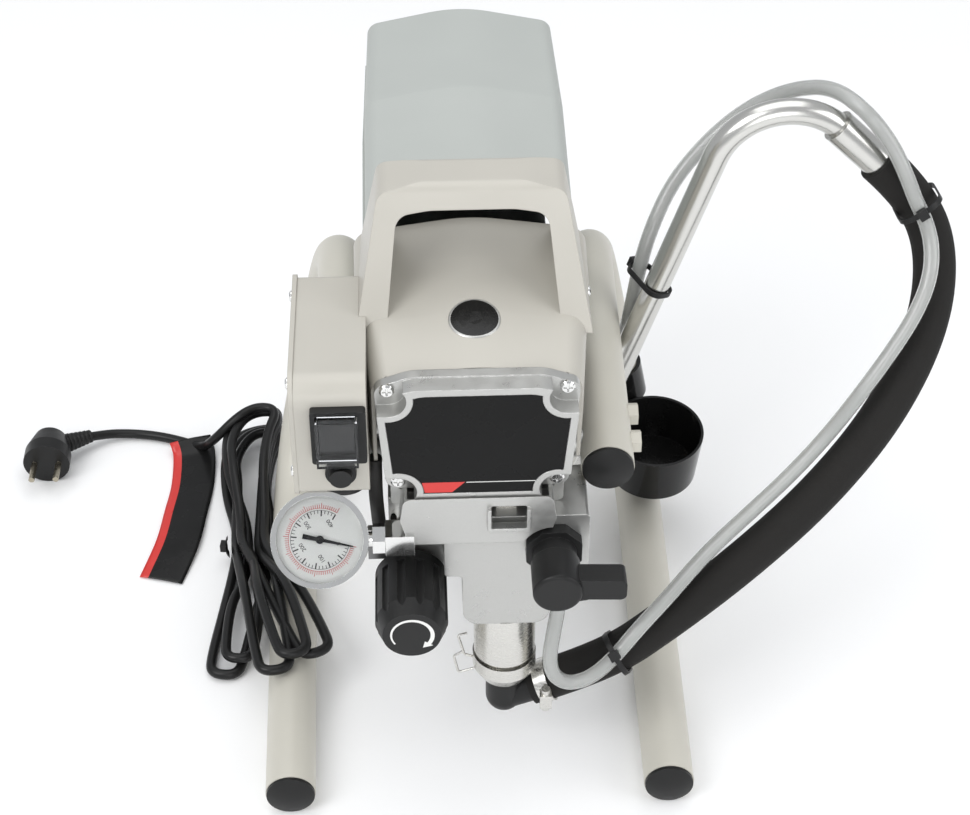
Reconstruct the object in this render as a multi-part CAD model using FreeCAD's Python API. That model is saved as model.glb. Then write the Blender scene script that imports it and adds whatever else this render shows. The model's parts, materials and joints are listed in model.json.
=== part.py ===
import FreeCAD, Part
import math
import os
from FreeCAD import Vector as V

# Airless paint sprayer on a two-runner tube frame. Millimetres, +Z up, the controls face -Y.
# X is measured from the machine's mid-plane and Z from the floor.

# ---------------------------------------------------------------- driving dimensions
ORIGIN = V(60.18, -7.0, 0)      # centre of the footprint box, in the coordinates used below

TUBE_R = 17.0               # frame tube, 34 mm outside
TUBE_WALL = 2.0
FLOOR_FRONT = V(128.7, -202, TUBE_R)
TOE_OUT = 0.0202            # the side frames spread by this much per mm towards the rear
REAR_Y = 135.0              # centre line of the rear uprights
UPPER_FRONT_Y = -139.0
UPPER_Z = 250.0
LEAN = 46.6                 # how far the upper tube stands inboard of the floor tube
FRAME_BEND_R = 65.0
BOLT_YS = (-115.0, -88.0)     # two bolts a side hold the frame to the housing

COVER_FACE_Y = -177.0       # front face of the cast cover
COVER_BACK_Y = -158.0
COVER_BOTTOM_Z = 260.0
COVER_TOP_Z = 348.0
COVER_HALF_TOP = 62.0
COVER_HALF_BOTTOM = 56.0

HOUSING_HALF = 54.0
HOUSING_BOTTOM_Z = 240.0
HOUSING_TOP_Z = 343.0
HOUSING_BACK_Y = -72.0
WALL_Y = (-131.0, -117.0)   # bearing wall between crank chamber and gear chamber

PUMP_X = 18.0               # pump axis
PUMP_Y = -152.0
THROW = 8.0                 # crank throw, so a 16 mm stroke
CRANK_XZ = (18.0, 300.0)
MOTOR_XZ = (0.0, 306.0)
PINION_TEETH, IDLER_TEETH, FIRST_MODULE = 12, 48, 1.0
IDLER_PINION_TEETH, CRANK_TEETH, SECOND_MODULE = 14, 48, 1.25
RUNNING_GAP = 0.05          # radial clearance of a turning or sliding fit

MANIFOLD_FRONT_Y = -172.0
MANIFOLD_BACK_Y = -125.0
MANIFOLD_TOP_Z = 240.0
MANIFOLD_LOW_Z = 145.0
ROD_R = 7.0
BORE_R = 12.5
CYLINDER_R = 20.5
PISTON_BORE_R = 11.0

KNOB_XZ = (-43.0, 179.0)
KNOB_R = 23.0
KNOB_Y = (-213.0, -160.0)
PRIME_XZ = (47.5, 215.0)

GAUGE_FACE = V(-98.5, -182, 234)
GAUGE_R = 30.5
GAUGE_TILT = 46.0           # dial normal, degrees from straight up towards the front
GAUGE_DEPTH = 21.0

BOX_X = (-109.0, -66.0)
BOX_Y = (-177.0, -64.0)
BOX_Z = (268.0, 351.0)
SWITCH_X = (-99.5, -66.5)
SWITCH_Z = (297.0, 337.0)

SHELL = 2.5                 # wall of the moulded covers
HANDLE_TOP_Z = 425.0
GRIP_UNDER_Z = 411.0

CUP_RIM = V(143.6, 78, 91.5)
CUP_TILT = 6.0
CUP_R = 37.0
CUP_BOTTOM_R = 33.5
CUP_DEPTH = 41.0
CUP_WALL = 1.8
CLIP_Z = (84.0, 112.0)

PIPE_R = 8.5
PIPE_WALL = 1.5
SLEEVE_R = 11.2
PIPE_FOOT = V(40, 2, 14)
PIPE_CORNER = V(182, 2, 460)
PIPE_END = V(238, 2, 408)
COUPLING_END = V(264, 0, 384)
PIPE_BEND_R = 48.0
HOSE_R = 14.0
RETURN_R = 5.0
CORD_R = 3.75
TIE_COUNT = 4

ELBOW = V(PUMP_X, PUMP_Y, 57)
BARB_AXIS = V(0.93, 0, 0.367).normalize()
BARB_LENGTH = 20.0

# Routes, from one point to the next in straight runs whose corners are rounded.
HOSE_ROUTE = [
    COUPLING_END, V(290.5, -2, 359.5), V(307, -18, 327), V(301, -50, 288), V(273, -80, 238), V(229, -107, 192),
    V(179, -123, 146), V(130, -138, 110), V(85, -152, 83.4), ELBOW + BARB_AXIS * BARB_LENGTH,
]
RETURN_ROUTE = [
    V(53, -165, 176), V(53, -166, 158), V(49, -175, 138), V(46, -181, 120), V(49, -183, 105), V(60, -181, 95),
    V(75, -175, 94), V(91, -165, 102), V(106, -157, 119), V(127, -144, 136), V(154, -126, 160), V(183, -113, 183),
    V(209, -102, 205), V(233, -92, 231), V(253, -86, 262), V(271, -76, 287), V(285, -66, 307), V(294, -56, 327),
    V(297, -42, 342), V(294, -31, 355), V(286, -24, 369), V(278, -19, 387), V(268, -11, 405), V(251, -5, 425),
    V(234, 19, 428), V(217, 42, 414), V(199, 56, 398), V(180, 61, 381), V(159, 56, 362), V(138, 44, 340),
    V(123, 26, 314), V(116, 18, 288), V(113, 18, 262), V(110, 20, 236), V(99, 20, 190), V(80, 20, 138),
    V(64, 23, 90), V(53, 27, 54),
]
LEAD_ROUTE = [
    V(-88, -40, 300), V(-88, -16, 300), V(-97, 3, 291), V(-113, 26, 262), V(-119, 46, 216),
    V(-119, 60, 160), V(-113, 77, 104), V(-106, 101, 50), V(-103, 133, 11), V(-111, 164, 5),
    V(-128, 184, 7),
]
TAIL_ROUTE = [
    V(-193, 158, 6), V(-214, 172, 4), V(-234, 182, 4), V(-255, 189, 4), V(-276, 191, 5),
    V(-296, 186, 9), V(-313, 174, 15),
]
SENSOR_ROUTE = [V(-63, -154, 276), V(-63.5, -155, 252), V(-63, -148, 226), V(-62, -145, 205)]
SENSOR_CABLE_R = 4.5

SOLIDS = {}


# ---------------------------------------------------------------- helpers
def box(x, y, z):
    return Part.makeBox(x[1] - x[0], y[1] - y[0], z[1] - z[0], V(x[0], y[0], z[0]))


def rod(start, end, radius):
    return Part.makeCylinder(radius, (end - start).Length, start, end - start)


def ring(start, end, outer, inner):
    reach = (end - start).normalize()
    return rod(start, end, outer).cut(rod(start - reach, end + reach, inner))


def along_y(xz, y, radius):
    return rod(V(xz[0], y[0], xz[1]), V(xz[0], y[1], xz[1]), radius)


def upright(xy, z, radius):
    return rod(V(xy[0], xy[1], z[0]), V(xy[0], xy[1], z[1]), radius)


def hexagon(centre, axis, across_flats, length):
    reach = across_flats / math.sqrt(3)
    turn = FreeCAD.Rotation(V(0, 0, 1), axis)
    corners = [centre + turn.multVec(V(reach * math.cos(a), reach * math.sin(a), 0))
               for a in (math.radians(60 * k) for k in range(7))]
    return Part.Face(Part.makePolygon(corners)).extrude(V(axis).normalize() * length)


def rounded_corner(before, at, after, radius):
    """The tangent points of an arc at a corner, and the arc between them."""
    back = (before - at).normalize()
    ahead = (after - at).normalize()
    half = back.getAngle(ahead) / 2
    middle = (back + ahead).normalize()
    start = at + back * (radius / math.tan(half))
    end = at + ahead * (radius / math.tan(half))
    top = at + middle * (radius / math.sin(half) - radius)
    return start, end, Part.Arc(start, top, end).toShape()


def rounded_loop(points, radii):
    """A closed wire through flat points, each corner rounded by its own radius (0 leaves it sharp)."""
    count = len(points)
    edges = []
    ends = []
    for k in range(count):
        if radii[k] > 0:
            start, end, arc = rounded_corner(points[k - 1], points[k], points[(k + 1) % count], radii[k])
            ends.append((start, end, arc))
        else:
            ends.append((points[k], points[k], None))
    for k in range(count):
        if ends[k][2] is not None:
            edges.append(ends[k][2])
        edges.append(Part.LineSegment(ends[k][1], ends[(k + 1) % count][0]).toShape())
    return Part.Wire(edges)


def prism(points, radii, travel):
    if not isinstance(radii, (list, tuple)):
        radii = [radii] * len(points)
    return Part.Face(rounded_loop(points, radii)).extrude(travel)


def front_prism(xz, radii, y):
    """A solid whose outline is drawn in the front view and that runs from y[0] to y[1]."""
    return prism([V(x, y[0], z) for x, z in xz], radii, V(0, y[1] - y[0], 0))


def side_prism(yz, radii, x):
    return prism([V(x[0], y, z) for y, z in yz], radii, V(x[1] - x[0], 0, 0))


def plan_prism(xy, radii, z):
    return prism([V(x, y, z[0]) for x, y in xy], radii, V(0, 0, z[1] - z[0]))


def mirrored(shape):
    return shape.mirror(V(0, 0, 0), V(1, 0, 0))


def joined(shapes):
    """One solid from touching ones."""
    return shapes[0].multiFuse(shapes[1:]).removeSplitter()


def centre_line(points, radii=None):
    """Straight runs joined by tangent arcs. Without radii each arc is as large as its runs allow."""
    edges = []
    used = []
    at = points[0]
    for k in range(1, len(points) - 1):
        before, here, after = points[k - 1], points[k], points[k + 1]
        half_turn = (math.pi - (before - here).getAngle(after - here)) / 2
        shorter = min((here - before).Length, (after - here).Length)
        radius = radii[k - 1] if radii else 0.45 * shorter / math.tan(half_turn)
        start, end, arc = rounded_corner(before, here, after, radius)
        edges.append(Part.LineSegment(at, start).toShape())
        edges.append(arc)
        used.append(radius)
        at = end
    edges.append(Part.LineSegment(at, points[-1]).toShape())
    return Part.Wire(edges), used


def swept(points, radius, radii=None, bore=0):
    path, used = centre_line(points, radii)
    shape = sweep_circle(path, points, radius)
    if bore:
        shape = shape.cut(sweep_circle(path, points, bore))
    return shape, path.Length, used


def sweep_circle(path, points, radius):
    loop = Part.Wire(Part.makeCircle(radius, points[0], points[1] - points[0]))
    return path.makePipeShell([loop], True, False)


def cord(name, points, radius):
    """A plain tube along a route; prints how tight it is and that its volume is right."""
    shape, length, used = swept(points, radius)
    section = math.pi * radius * radius * length
    print(f"{name}: length {length:.0f}, volume/section {shape.Volume / section:.4f}, radii "
          + " ".join(f"{r:.0f}" for r in used))
    return shape


def gear(centre, teeth, module, tooth_at, y, bore):
    """A spur gear about a line along Y, with one tooth centred at the angle tooth_at."""
    pitch = 2 * math.pi / teeth
    tip = module * (teeth / 2 + 0.9)
    root = module * (teeth / 2 - 1.2)
    corners = []
    for k in range(teeth):
        middle = tooth_at + k * pitch
        for offset, radius in ((-0.30, root), (-0.11, tip), (0.11, tip), (0.30, root)):
            a = middle + offset * pitch
            corners.append(V(centre[0] + radius * math.cos(a), y[0], centre[1] + radius * math.sin(a)))
    corners.append(corners[0])
    blank = Part.Face(Part.makePolygon(corners)).extrude(V(0, y[1] - y[0], 0))
    return blank.cut(along_y(centre, (y[0] - 1, y[1] + 1), bore)) if bore else blank


def bearing(xz, y, outer, inner):
    """A deep-groove ball bearing: two races and a ring of balls' width between shields."""
    whole = along_y(xz, y, outer).cut(along_y(xz, (y[0] - 1, y[1] + 1), inner))
    low = inner + (outer - inner) * 0.35
    high = inner + (outer - inner) * 0.65
    groove = along_y(xz, (y[0], y[0] + 0.5), high).cut(along_y(xz, (y[0], y[0] + 0.5), low))
    return whole.cut(groove)


def pan_screw(seat, axis, head_r, shank_r, shank):
    """A pan-head screw with a cross recess; axis points out of the head."""
    out = V(axis).normalize()
    head = rod(seat, seat + out * head_r * 0.6, head_r)
    head = head.makeChamfer(head_r * 0.25, [head.Edges[0]])
    turn = FreeCAD.Rotation(V(0, 0, 1), out)
    slots = []
    for quarter in (0, 90):
        slot = Part.makeBox(head_r * 1.2, head_r * 0.25, head_r, V(-head_r * 0.6, -head_r * 0.125, 0))
        slot.rotate(V(0, 0, 0), V(0, 0, 1), quarter)
        slot.Placement = FreeCAD.Placement(seat + out * head_r * 0.3, turn).multiply(slot.Placement)
        slots.append(slot)
    return joined([head.cut(slots[0]).cut(slots[1]), rod(seat - out * shank, seat, shank_r)])


def largest(shape):
    """The main solid, without the slivers that a cut can leave."""
    return max(shape.Solids, key=lambda solid: solid.Volume)


def keep(name, shape):
    SOLIDS[name] = shape


# ---------------------------------------------------------------- tube frame
def frame_corners():
    """Front floor, rear floor, rear upper and front upper corner of the right side frame."""
    toe = FLOOR_FRONT.x - TOE_OUT * FLOOR_FRONT.y
    floor_rear = V(toe + TOE_OUT * REAR_Y, REAR_Y, TUBE_R)
    upper_rear = V(floor_rear.x - LEAN, REAR_Y, UPPER_Z)
    upper_front = V(toe + TOE_OUT * UPPER_FRONT_Y - LEAN, UPPER_FRONT_Y, UPPER_Z)
    return FLOOR_FRONT, floor_rear, upper_rear, upper_front


def upper_tube_x(y):
    return FLOOR_FRONT.x + TOE_OUT * (y - FLOOR_FRONT.y) - LEAN


def side_frame_core(radius):
    corners = list(frame_corners())
    path, _ = centre_line(corners, [FRAME_BEND_R, FRAME_BEND_R])
    return sweep_circle(path, corners, radius)


def end_cap(at, outward):
    out = V(outward).normalize()
    flange = rod(at, at + out * 2.5, TUBE_R - 0.6)
    dome = Part.makeSphere(40, at + out * (2.5 - 40 + 3.6)).common(rod(at + out * 2.4, at + out * 8, TUBE_R - 0.6))
    plug = rod(at - out * 14, at, TUBE_R - TUBE_WALL - 0.2)
    return joined([flange, dome, plug])


def make_frame():
    floor_front, floor_rear, upper_rear, upper_front = frame_corners()
    tube = side_frame_core(TUBE_R).cut(side_frame_core(TUBE_R - TUBE_WALL))
    bolts = []
    for y in BOLT_YS:
        x = upper_tube_x(y)
        shank = rod(V(HOUSING_HALF - 12, y, UPPER_Z), V(x + TUBE_R, y, UPPER_Z), 4)
        head = hexagon(V(x + TUBE_R - 1.5, y, UPPER_Z), V(1, 0, 0), 13, 7)
        bolts.append(joined([shank, head]))
    for bolt in bolts:
        tube = tube.cut(bolt)
    keep("right_frame_tube", tube)
    keep("left_frame_tube", mirrored(tube))
    caps = [end_cap(floor_front, floor_front - floor_rear), end_cap(upper_front, upper_front - upper_rear)]
    keep("frame_end_caps", Part.makeCompound(caps + [mirrored(c) for c in caps]))
    keep("frame_bolts", Part.makeCompound(bolts + [mirrored(b) for b in bolts]))
    return bolts


# ---------------------------------------------------------------- drive housing and its cover
def idler_centre():
    """Where the idler shaft stands so that both of its meshes have their right centre distance."""
    first = FIRST_MODULE * (PINION_TEETH + IDLER_TEETH) / 2
    second = SECOND_MODULE * (IDLER_PINION_TEETH + CRANK_TEETH) / 2
    dx = CRANK_XZ[0] - MOTOR_XZ[0]
    dz = CRANK_XZ[1] - MOTOR_XZ[1]
    gap = math.hypot(dx, dz)
    ahead = (first ** 2 - second ** 2 + gap ** 2) / (2 * gap)
    aside = math.sqrt(first ** 2 - ahead ** 2)
    return (MOTOR_XZ[0] + (ahead * dx + aside * dz) / gap, MOTOR_XZ[1] + (ahead * dz - aside * dx) / gap)


def make_housing(bolts):
    low, high = HOUSING_BOTTOM_Z, HOUSING_TOP_Z
    outline = [(-HOUSING_HALF, low), (HOUSING_HALF, low), (HOUSING_HALF, high), (-HOUSING_HALF, high)]
    body = front_prism(outline, [4, 4, 12, 12], (COVER_BACK_Y, HOUSING_BACK_Y))
    chamber = [(-50, low + 10), (50, low + 10), (50, high - 4), (-50, high - 4)]
    body = body.cut(front_prism(chamber, 8, (COVER_BACK_Y - 1, WALL_Y[0])))
    body = body.cut(front_prism(chamber, 8, (WALL_Y[1], HOUSING_BACK_Y + 1)))
    slot = box((PUMP_X - 14, PUMP_X + 14), (COVER_BACK_Y - 1, PUMP_Y + 18), (low - 1, low + 22))
    body = body.cut(slot)
    idler = idler_centre()
    body = body.cut(along_y(CRANK_XZ, (WALL_Y[0] - 1, WALL_Y[1] + 1), 17.5))
    body = body.cut(along_y(idler, (WALL_Y[0] + 3, WALL_Y[1] + 1), 9.5))
    body = body.cut(along_y(idler, (WALL_Y[0] - 1, WALL_Y[1]), 4.6))
    pads = []
    for y in BOLT_YS:
        pad = rod(V(HOUSING_HALF - 1, y, UPPER_Z), V(upper_tube_x(y), y, UPPER_Z), 9)
        pads += [pad, mirrored(pad)]
    core = side_frame_core(TUBE_R + 0.05)
    body = joined([body] + pads).cut(core).cut(mirrored(core))
    for bolt in bolts:
        body = body.cut(bolt).cut(mirrored(bolt))
    keep("drive_housing", body)


def cover_half(z):
    share = (z - COVER_BOTTOM_Z) / (COVER_TOP_Z - COVER_BOTTOM_Z)
    return COVER_HALF_BOTTOM + (COVER_HALF_TOP - COVER_HALF_BOTTOM) * share


def cover_screw_places():
    return [(side * (cover_half(z) - 7.5), z) for z in (COVER_BOTTOM_Z + 7, COVER_TOP_Z - 9) for side in (-1, 1)]


def cover_outline(inset):
    """Front outline of the cover: sides that spread upwards and a crowned top edge."""
    low = COVER_BOTTOM_Z + inset
    top = COVER_TOP_Z - inset
    corner_low = cover_half(COVER_BOTTOM_Z) - inset
    corner_top = cover_half(COVER_TOP_Z) - inset
    return [(-corner_low, low), (corner_low, low), (corner_top, top - 8), (corner_top - 22, top),
            (-corner_top + 22, top), (-corner_top, top - 8)]


def plate_shape(inset, y):
    """The nameplate outline: the cover's own outline with its corners scooped out round the screws."""
    plate = front_prism(cover_outline(inset), [5, 5, 5, 28, 28, 5], y)
    for x, z in cover_screw_places():
        plate = plate.cut(along_y((x, z), (y[0] - 1, y[1] + 1), 10 + inset))
    return plate


def make_front_cover():
    flange = front_prism(cover_outline(0), [8, 8, 7, 30, 30, 7], (COVER_BACK_Y - 7, COVER_BACK_Y))
    raised = front_prism(cover_outline(0.8), [7, 7, 6, 30, 30, 6], (COVER_FACE_Y, COVER_BACK_Y - 6))
    for x, z in cover_screw_places():
        raised = raised.cut(along_y((x, z), (COVER_FACE_Y - 1, COVER_BACK_Y - 5), 11.5))
        outward = x + math.copysign(30, x)
        upward = math.copysign(1, z - (COVER_BOTTOM_Z + COVER_TOP_Z) / 2)
        corner = [(x, z - upward * 11.5), (outward, z - upward * 11.5), (outward, z + upward * 30), (x, z + upward * 30)]
        raised = raised.cut(front_prism(corner, 0, (COVER_FACE_Y - 1, COVER_BACK_Y - 7)))
    body = joined([flange, raised])
    body = body.cut(plate_shape(5.5, (COVER_FACE_Y - 1, COVER_FACE_Y + 1.2)))
    keep("nameplate", plate_shape(5.8, (COVER_FACE_Y + 0.2, COVER_FACE_Y + 1.2)))
    body = body.cut(box((PUMP_X - 12, PUMP_X + 12), (COVER_BACK_Y - 5, COVER_BACK_Y + 1), (255, 268)))
    hollow = front_prism([(-42, 264), (42, 264), (44, 342), (-44, 342)], 6, (COVER_FACE_Y + 4, COVER_BACK_Y + 1))
    for x, z in cover_screw_places():
        hollow = hollow.cut(along_y((x, z), (COVER_FACE_Y, COVER_BACK_Y + 1), 14))
        body = body.cut(along_y((x, z), (COVER_FACE_Y, COVER_BACK_Y + 1), 2.5))
    keep("front_cover", body.cut(hollow))


def make_pump_shield():
    low, high = 224.0, COVER_BOTTOM_Z + 2
    outline = [(-43, low), (43, low), (48.5, low + 20), (46, high), (-46, high), (-48.5, low + 20)]
    tray = front_prism(outline, [2, 2, 8, 6, 6, 8], (-178.5, COVER_BACK_Y))
    inner = [(-40, low - 5), (40, low - 5), (45.2, low + 20), (43, high + 5), (-43, high + 5), (-45.2, low + 20)]
    tray = tray.cut(front_prism(inner, 3, (-175.5, COVER_BACK_Y + 1)))
    rim = front_prism([(5.5, 236), (32.5, 236), (32.5, 254), (5.5, 254)], 1.5, (-181.5, -175.5))
    window = front_prism([(8, 238.5), (30, 238.5), (30, 255), (8, 255)], 1, (-183, -170))
    cover_keep_out = box((-70, 70), (COVER_FACE_Y - 1.2, COVER_BACK_Y + 2), (COVER_BOTTOM_Z, high + 2))
    below = box((-26, 72), (MANIFOLD_FRONT_Y - 0.3, COVER_BACK_Y + 2), (low - 2, MANIFOLD_TOP_Z + 0.3))
    shield = joined([tray, rim]).cut(window).cut(cover_keep_out).cut(below)
    keep("pump_shield", shield.cut(along_y(PRIME_XZ, (-190, -170), 21)))


# ---------------------------------------------------------------- gear train and motor
def make_gears():
    idler = idler_centre()
    to_idler = math.atan2(idler[1] - MOTOR_XZ[1], idler[0] - MOTOR_XZ[0])
    to_crank = math.atan2(CRANK_XZ[1] - idler[1], CRANK_XZ[0] - idler[0])

    pinion = gear(MOTOR_XZ, PINION_TEETH, FIRST_MODULE, to_idler, (-88, -73), 0)

    wheel = gear(idler, IDLER_TEETH, FIRST_MODULE, to_idler + math.pi + math.pi / IDLER_TEETH, (-86, -76), 0)
    wheel = wheel.cut(along_y(idler, (-83, -75), 18)).fuse(along_y(idler, (-84, -76), 8))
    small = gear(idler, IDLER_PINION_TEETH, SECOND_MODULE, to_crank, (-115, -100), 0)
    spindle = along_y(idler, (-127, -67), 4)
    keep("idler_gear", joined([wheel, small, spindle, along_y(idler, (-100, -86), 6.5)]))

    first_tooth = to_crank + math.pi + math.pi / CRANK_TEETH
    crank_gear = gear(CRANK_XZ, CRANK_TEETH, SECOND_MODULE, first_tooth, (-115, -101), 0)
    for k in range(5):
        a = math.radians(72 * k)
        hole = (CRANK_XZ[0] + 18 * math.cos(a), CRANK_XZ[1] + 18 * math.sin(a))
        crank_gear = crank_gear.cut(along_y(hole, (-120, -95), 5))
    pin = (CRANK_XZ[0] + THROW, CRANK_XZ[1])
    parts = [along_y(CRANK_XZ, (-134, -100), 8), along_y(CRANK_XZ, (-143, -133), 20),
             along_y(pin, (-157.5, -142), 7)]
    keep("crank_gear", joined([crank_gear] + parts))

    turning = RUNNING_GAP
    keep("drive_bearings", Part.makeCompound([
        bearing(CRANK_XZ, (WALL_Y[0], -124), 17.5, 8 + turning),
        bearing(CRANK_XZ, (-124, WALL_Y[1]), 17.5, 8 + turning),
        bearing(idler, (-128, WALL_Y[1]), 9.5, 4 + turning),
        bearing(idler, (-72, -67), 9.5, 4 + turning),
        bearing(MOTOR_XZ, (-71, -62), 13, 5 + turning),
        bearing(MOTOR_XZ, (107, 116), 13, 5 + turning),
    ]))
    return pinion


def make_motor(pinion):
    idler = idler_centre()
    flange = [(-52, 252), (52, 252), (52, HOUSING_TOP_Z), (-52, HOUSING_TOP_Z)]
    body = front_prism(flange, [6, 6, 12, 12], (HOUSING_BACK_Y, -66))
    body = joined([body, along_y(MOTOR_XZ, (-68, 118), 54)])
    body = body.cut(along_y(MOTOR_XZ, (-60, 106), 51))
    body = body.cut(along_y(MOTOR_XZ, (HOUSING_BACK_Y - 1, -62), 13)).cut(along_y(MOTOR_XZ, (-63, -59), 6.5))
    body = body.cut(along_y(MOTOR_XZ, (105, 116), 13)).cut(along_y(MOTOR_XZ, (115, 119), 6.5))
    body = body.cut(along_y(idler, (HOUSING_BACK_Y - 1, -67), 9.5))
    keep("motor_housing", body)

    magnets = []
    whole = along_y(MOTOR_XZ, (-40, 88), 51).cut(along_y(MOTOR_XZ, (-41, 89), 41.5))
    for k in range(4):
        a = math.radians(90 * k + 45)
        reach = V(75 * math.cos(a), 0, 75 * math.sin(a))
        side = V(-60 * math.sin(a), 0, 60 * math.cos(a))
        middle = V(MOTOR_XZ[0], -42, MOTOR_XZ[1])
        wedge = Part.Face(Part.makePolygon([middle, middle + reach + side, middle + reach - side, middle]))
        magnets.append(whole.common(wedge.extrude(V(0, 134, 0))))
    keep("field_magnets", Part.makeCompound(magnets))

    core = along_y(MOTOR_XZ, (-36, 84), 40.5)
    for k in range(16):
        a = math.radians(22.5 * k)
        slot = (MOTOR_XZ[0] + 34 * math.cos(a), MOTOR_XZ[1] + 34 * math.sin(a))
        core = core.cut(along_y(slot, (-37, 85), 3.6))
    shaft = along_y(MOTOR_XZ, (-73, 150), 5)
    winding = along_y(MOTOR_XZ, (84, 92), 28)
    commutator = along_y(MOTOR_XZ, (92, 104), 15)

    hub = along_y(MOTOR_XZ, (124, 144), 11)
    blades = []
    for k in range(9):
        blade = box((9, 47), (126, 142), (MOTOR_XZ[1] - 1, MOTOR_XZ[1] + 1))
        blade.rotate(V(28, 134, MOTOR_XZ[1]), V(1, 0, 0), 38)
        blade.rotate(V(MOTOR_XZ[0], 0, MOTOR_XZ[1]), V(0, 1, 0), 40 * k)
        blades.append(blade)
    keep("motor_rotor", joined([shaft, pinion, core, winding, commutator, hub] + blades))


# ---------------------------------------------------------------- pump
def make_plunger():
    half_w, half_h, window_w, window_h = 21.5, 30.5, 15.5, 23.5
    x, z = CRANK_XZ
    frame = front_prism([(x - half_w, z - half_h), (x + half_w, z - half_h), (x + half_w, z + half_h),
                         (x - half_w, z + half_h)], 4, (-158, -146))
    frame = frame.cut(front_prism([(x - window_w, z - window_h), (x + window_w, z - window_h),
                                   (x + window_w, z + window_h), (x - window_w, z + window_h)], 3, (-160, -144)))
    boss = upright((PUMP_X, PUMP_Y), (257, z - half_h + 1), 9)
    keep("slider_yoke", joined([frame, boss]))

    stem = upright((PUMP_X, PUMP_Y), (138, 257), ROD_R)
    piston = upright((PUMP_X, PUMP_Y), (118, 130), PISTON_BORE_R - RUNNING_GAP)
    neck = upright((PUMP_X, PUMP_Y), (129, 139), 8.5)
    body = joined([stem, piston, neck])
    body = body.cut(upright((PUMP_X, PUMP_Y), (117, 124), 4)).cut(upright((PUMP_X, PUMP_Y), (124, 136), 5.6))
    port = rod(V(PUMP_X - 12, PUMP_Y, 134), V(PUMP_X + 12, PUMP_Y, 134), 2.4)
    keep("piston_rod", body.cut(port))
    seat_rise = math.sqrt(5.0 ** 2 - 4.0 ** 2)
    keep("outlet_ball", Part.makeSphere(5.0, V(PUMP_X, PUMP_Y, 124.05 + seat_rise)))


def make_pump():
    axis = (PUMP_X, PUMP_Y)
    rings = [upright(axis, (z, z + 5.5), BORE_R).cut(upright(axis, (z - 1, z + 7), ROD_R + RUNNING_GAP))
             for z in (208.0, 214.0, 220.0)]
    keep("rod_packings", Part.makeCompound(rings))
    nut = upright(axis, (226, 240), BORE_R)
    nut = joined([nut, hexagon(V(PUMP_X, PUMP_Y, 240), V(0, 0, 1), 22, 6)])
    keep("packing_nut", nut.cut(upright(axis, (225, 250), ROD_R + 0.3)))

    barrel = joined([upright(axis, (103, 145), CYLINDER_R), upright(axis, (144, 162), BORE_R),
                     upright(axis, (92, 104), 16)])
    barrel = barrel.cut(upright(axis, (91, 163), PISTON_BORE_R))
    keep("pump_cylinder", barrel)

    cone = Part.makeCone(16.5, 21.3, 9, V(PUMP_X, PUMP_Y, 80))
    collar = joined([cone, upright(axis, (89, 100), 21.3)])
    collar = collar.cut(upright(axis, (92, 101), 16)).cut(upright(axis, (84, 93), 6))
    keep("inlet_collar", collar.cut(upright(axis, (79, 84), 10.5)))
    rise = math.sqrt(7.5 ** 2 - 6.0 ** 2)
    keep("inlet_ball", Part.makeSphere(7.5, V(PUMP_X, PUMP_Y, 92.05 + rise)))

    barb_end = ELBOW + BARB_AXIS * BARB_LENGTH
    elbow = joined([Part.makeSphere(12.5, ELBOW), upright(axis, (ELBOW.z, 84), 10.5),
                    upright(axis, (ELBOW.z, 79.5), 12.5), rod(ELBOW, barb_end, 11.5)])
    elbow = elbow.cut(upright(axis, (ELBOW.z, 85), 7)).cut(rod(ELBOW, barb_end + BARB_AXIS, 7))
    keep("suction_elbow", elbow)

    wires = []
    for points in ([V(-1, -152, 92), V(-9, -152, 96), V(-13, -152, 114), V(-7, -152, 116)],
                   [V(1, -152, 83), V(-13, -152, 78), V(-16, -152, 94), V(-10, -152, 98.5)]):
        wire, _, _ = swept(points, 0.9, [2, 2])
        wires.append(wire.cut(collar).cut(barrel))
    keep("retaining_clip", Part.makeCompound(wires))

    middle = ELBOW + BARB_AXIS * 29.5
    start, end = middle - BARB_AXIS * 4.5, middle + BARB_AXIS * 4.5
    band = rod(start, end, HOSE_R + 1.4)
    screw_box = box((-4, 4), (-6, 6), (-3, 7))
    screw_box.Placement = FreeCAD.Placement(middle + V(0, -HOSE_R, 0), FreeCAD.Rotation(V(0, 0, 1), V(0, -1, 0)))
    head = rod(middle + V(0, -HOSE_R - 3.6, -8.5), middle + V(0, -HOSE_R - 3.6, 10.5), 3.1)
    bore = rod(start - BARB_AXIS * 5, end + BARB_AXIS * 5, HOSE_R + 0.1)
    keep("hose_clamp", joined([band, screw_box, head]).cut(bore))


def make_manifold():
    outline = [(-21.5, MANIFOLD_TOP_Z), (70, MANIFOLD_TOP_Z), (70, 189), (46, 189), (46, MANIFOLD_LOW_Z),
               (-10, MANIFOLD_LOW_Z), (-10, 189), (-21.5, 189)]
    body = front_prism(outline, [2, 3, 7, 3, 11, 11, 3, 3], (MANIFOLD_FRONT_Y, MANIFOLD_BACK_Y))
    port_block = box((-56, -20), (-152, -122), (165, MANIFOLD_TOP_Z))
    knob_shaft = along_y(KNOB_XZ, (-169, -151), 5)
    knob_nut = hexagon(V(KNOB_XZ[0], -152, KNOB_XZ[1]), V(0, -1, 0), 24, 6)
    body = joined([body, port_block, knob_shaft, knob_nut])
    body = body.cut(upright((PUMP_X, PUMP_Y), (MANIFOLD_LOW_Z - 1, MANIFOLD_TOP_Z + 1), BORE_R))
    drain = upright((53, -165), (176, 190), 4.4).cut(upright((53, -165), (175, 191), 2.8))
    keep("manifold", joined([body, drain]))

    nipple = joined([upright((-40, -136), (140, 158), 6.6), hexagon(V(-40, -136, 157), V(0, 0, 1), 17, 8)])
    keep("outlet_nipple", nipple.cut(upright((-40, -136), (139, 166), 3.5)))


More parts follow.
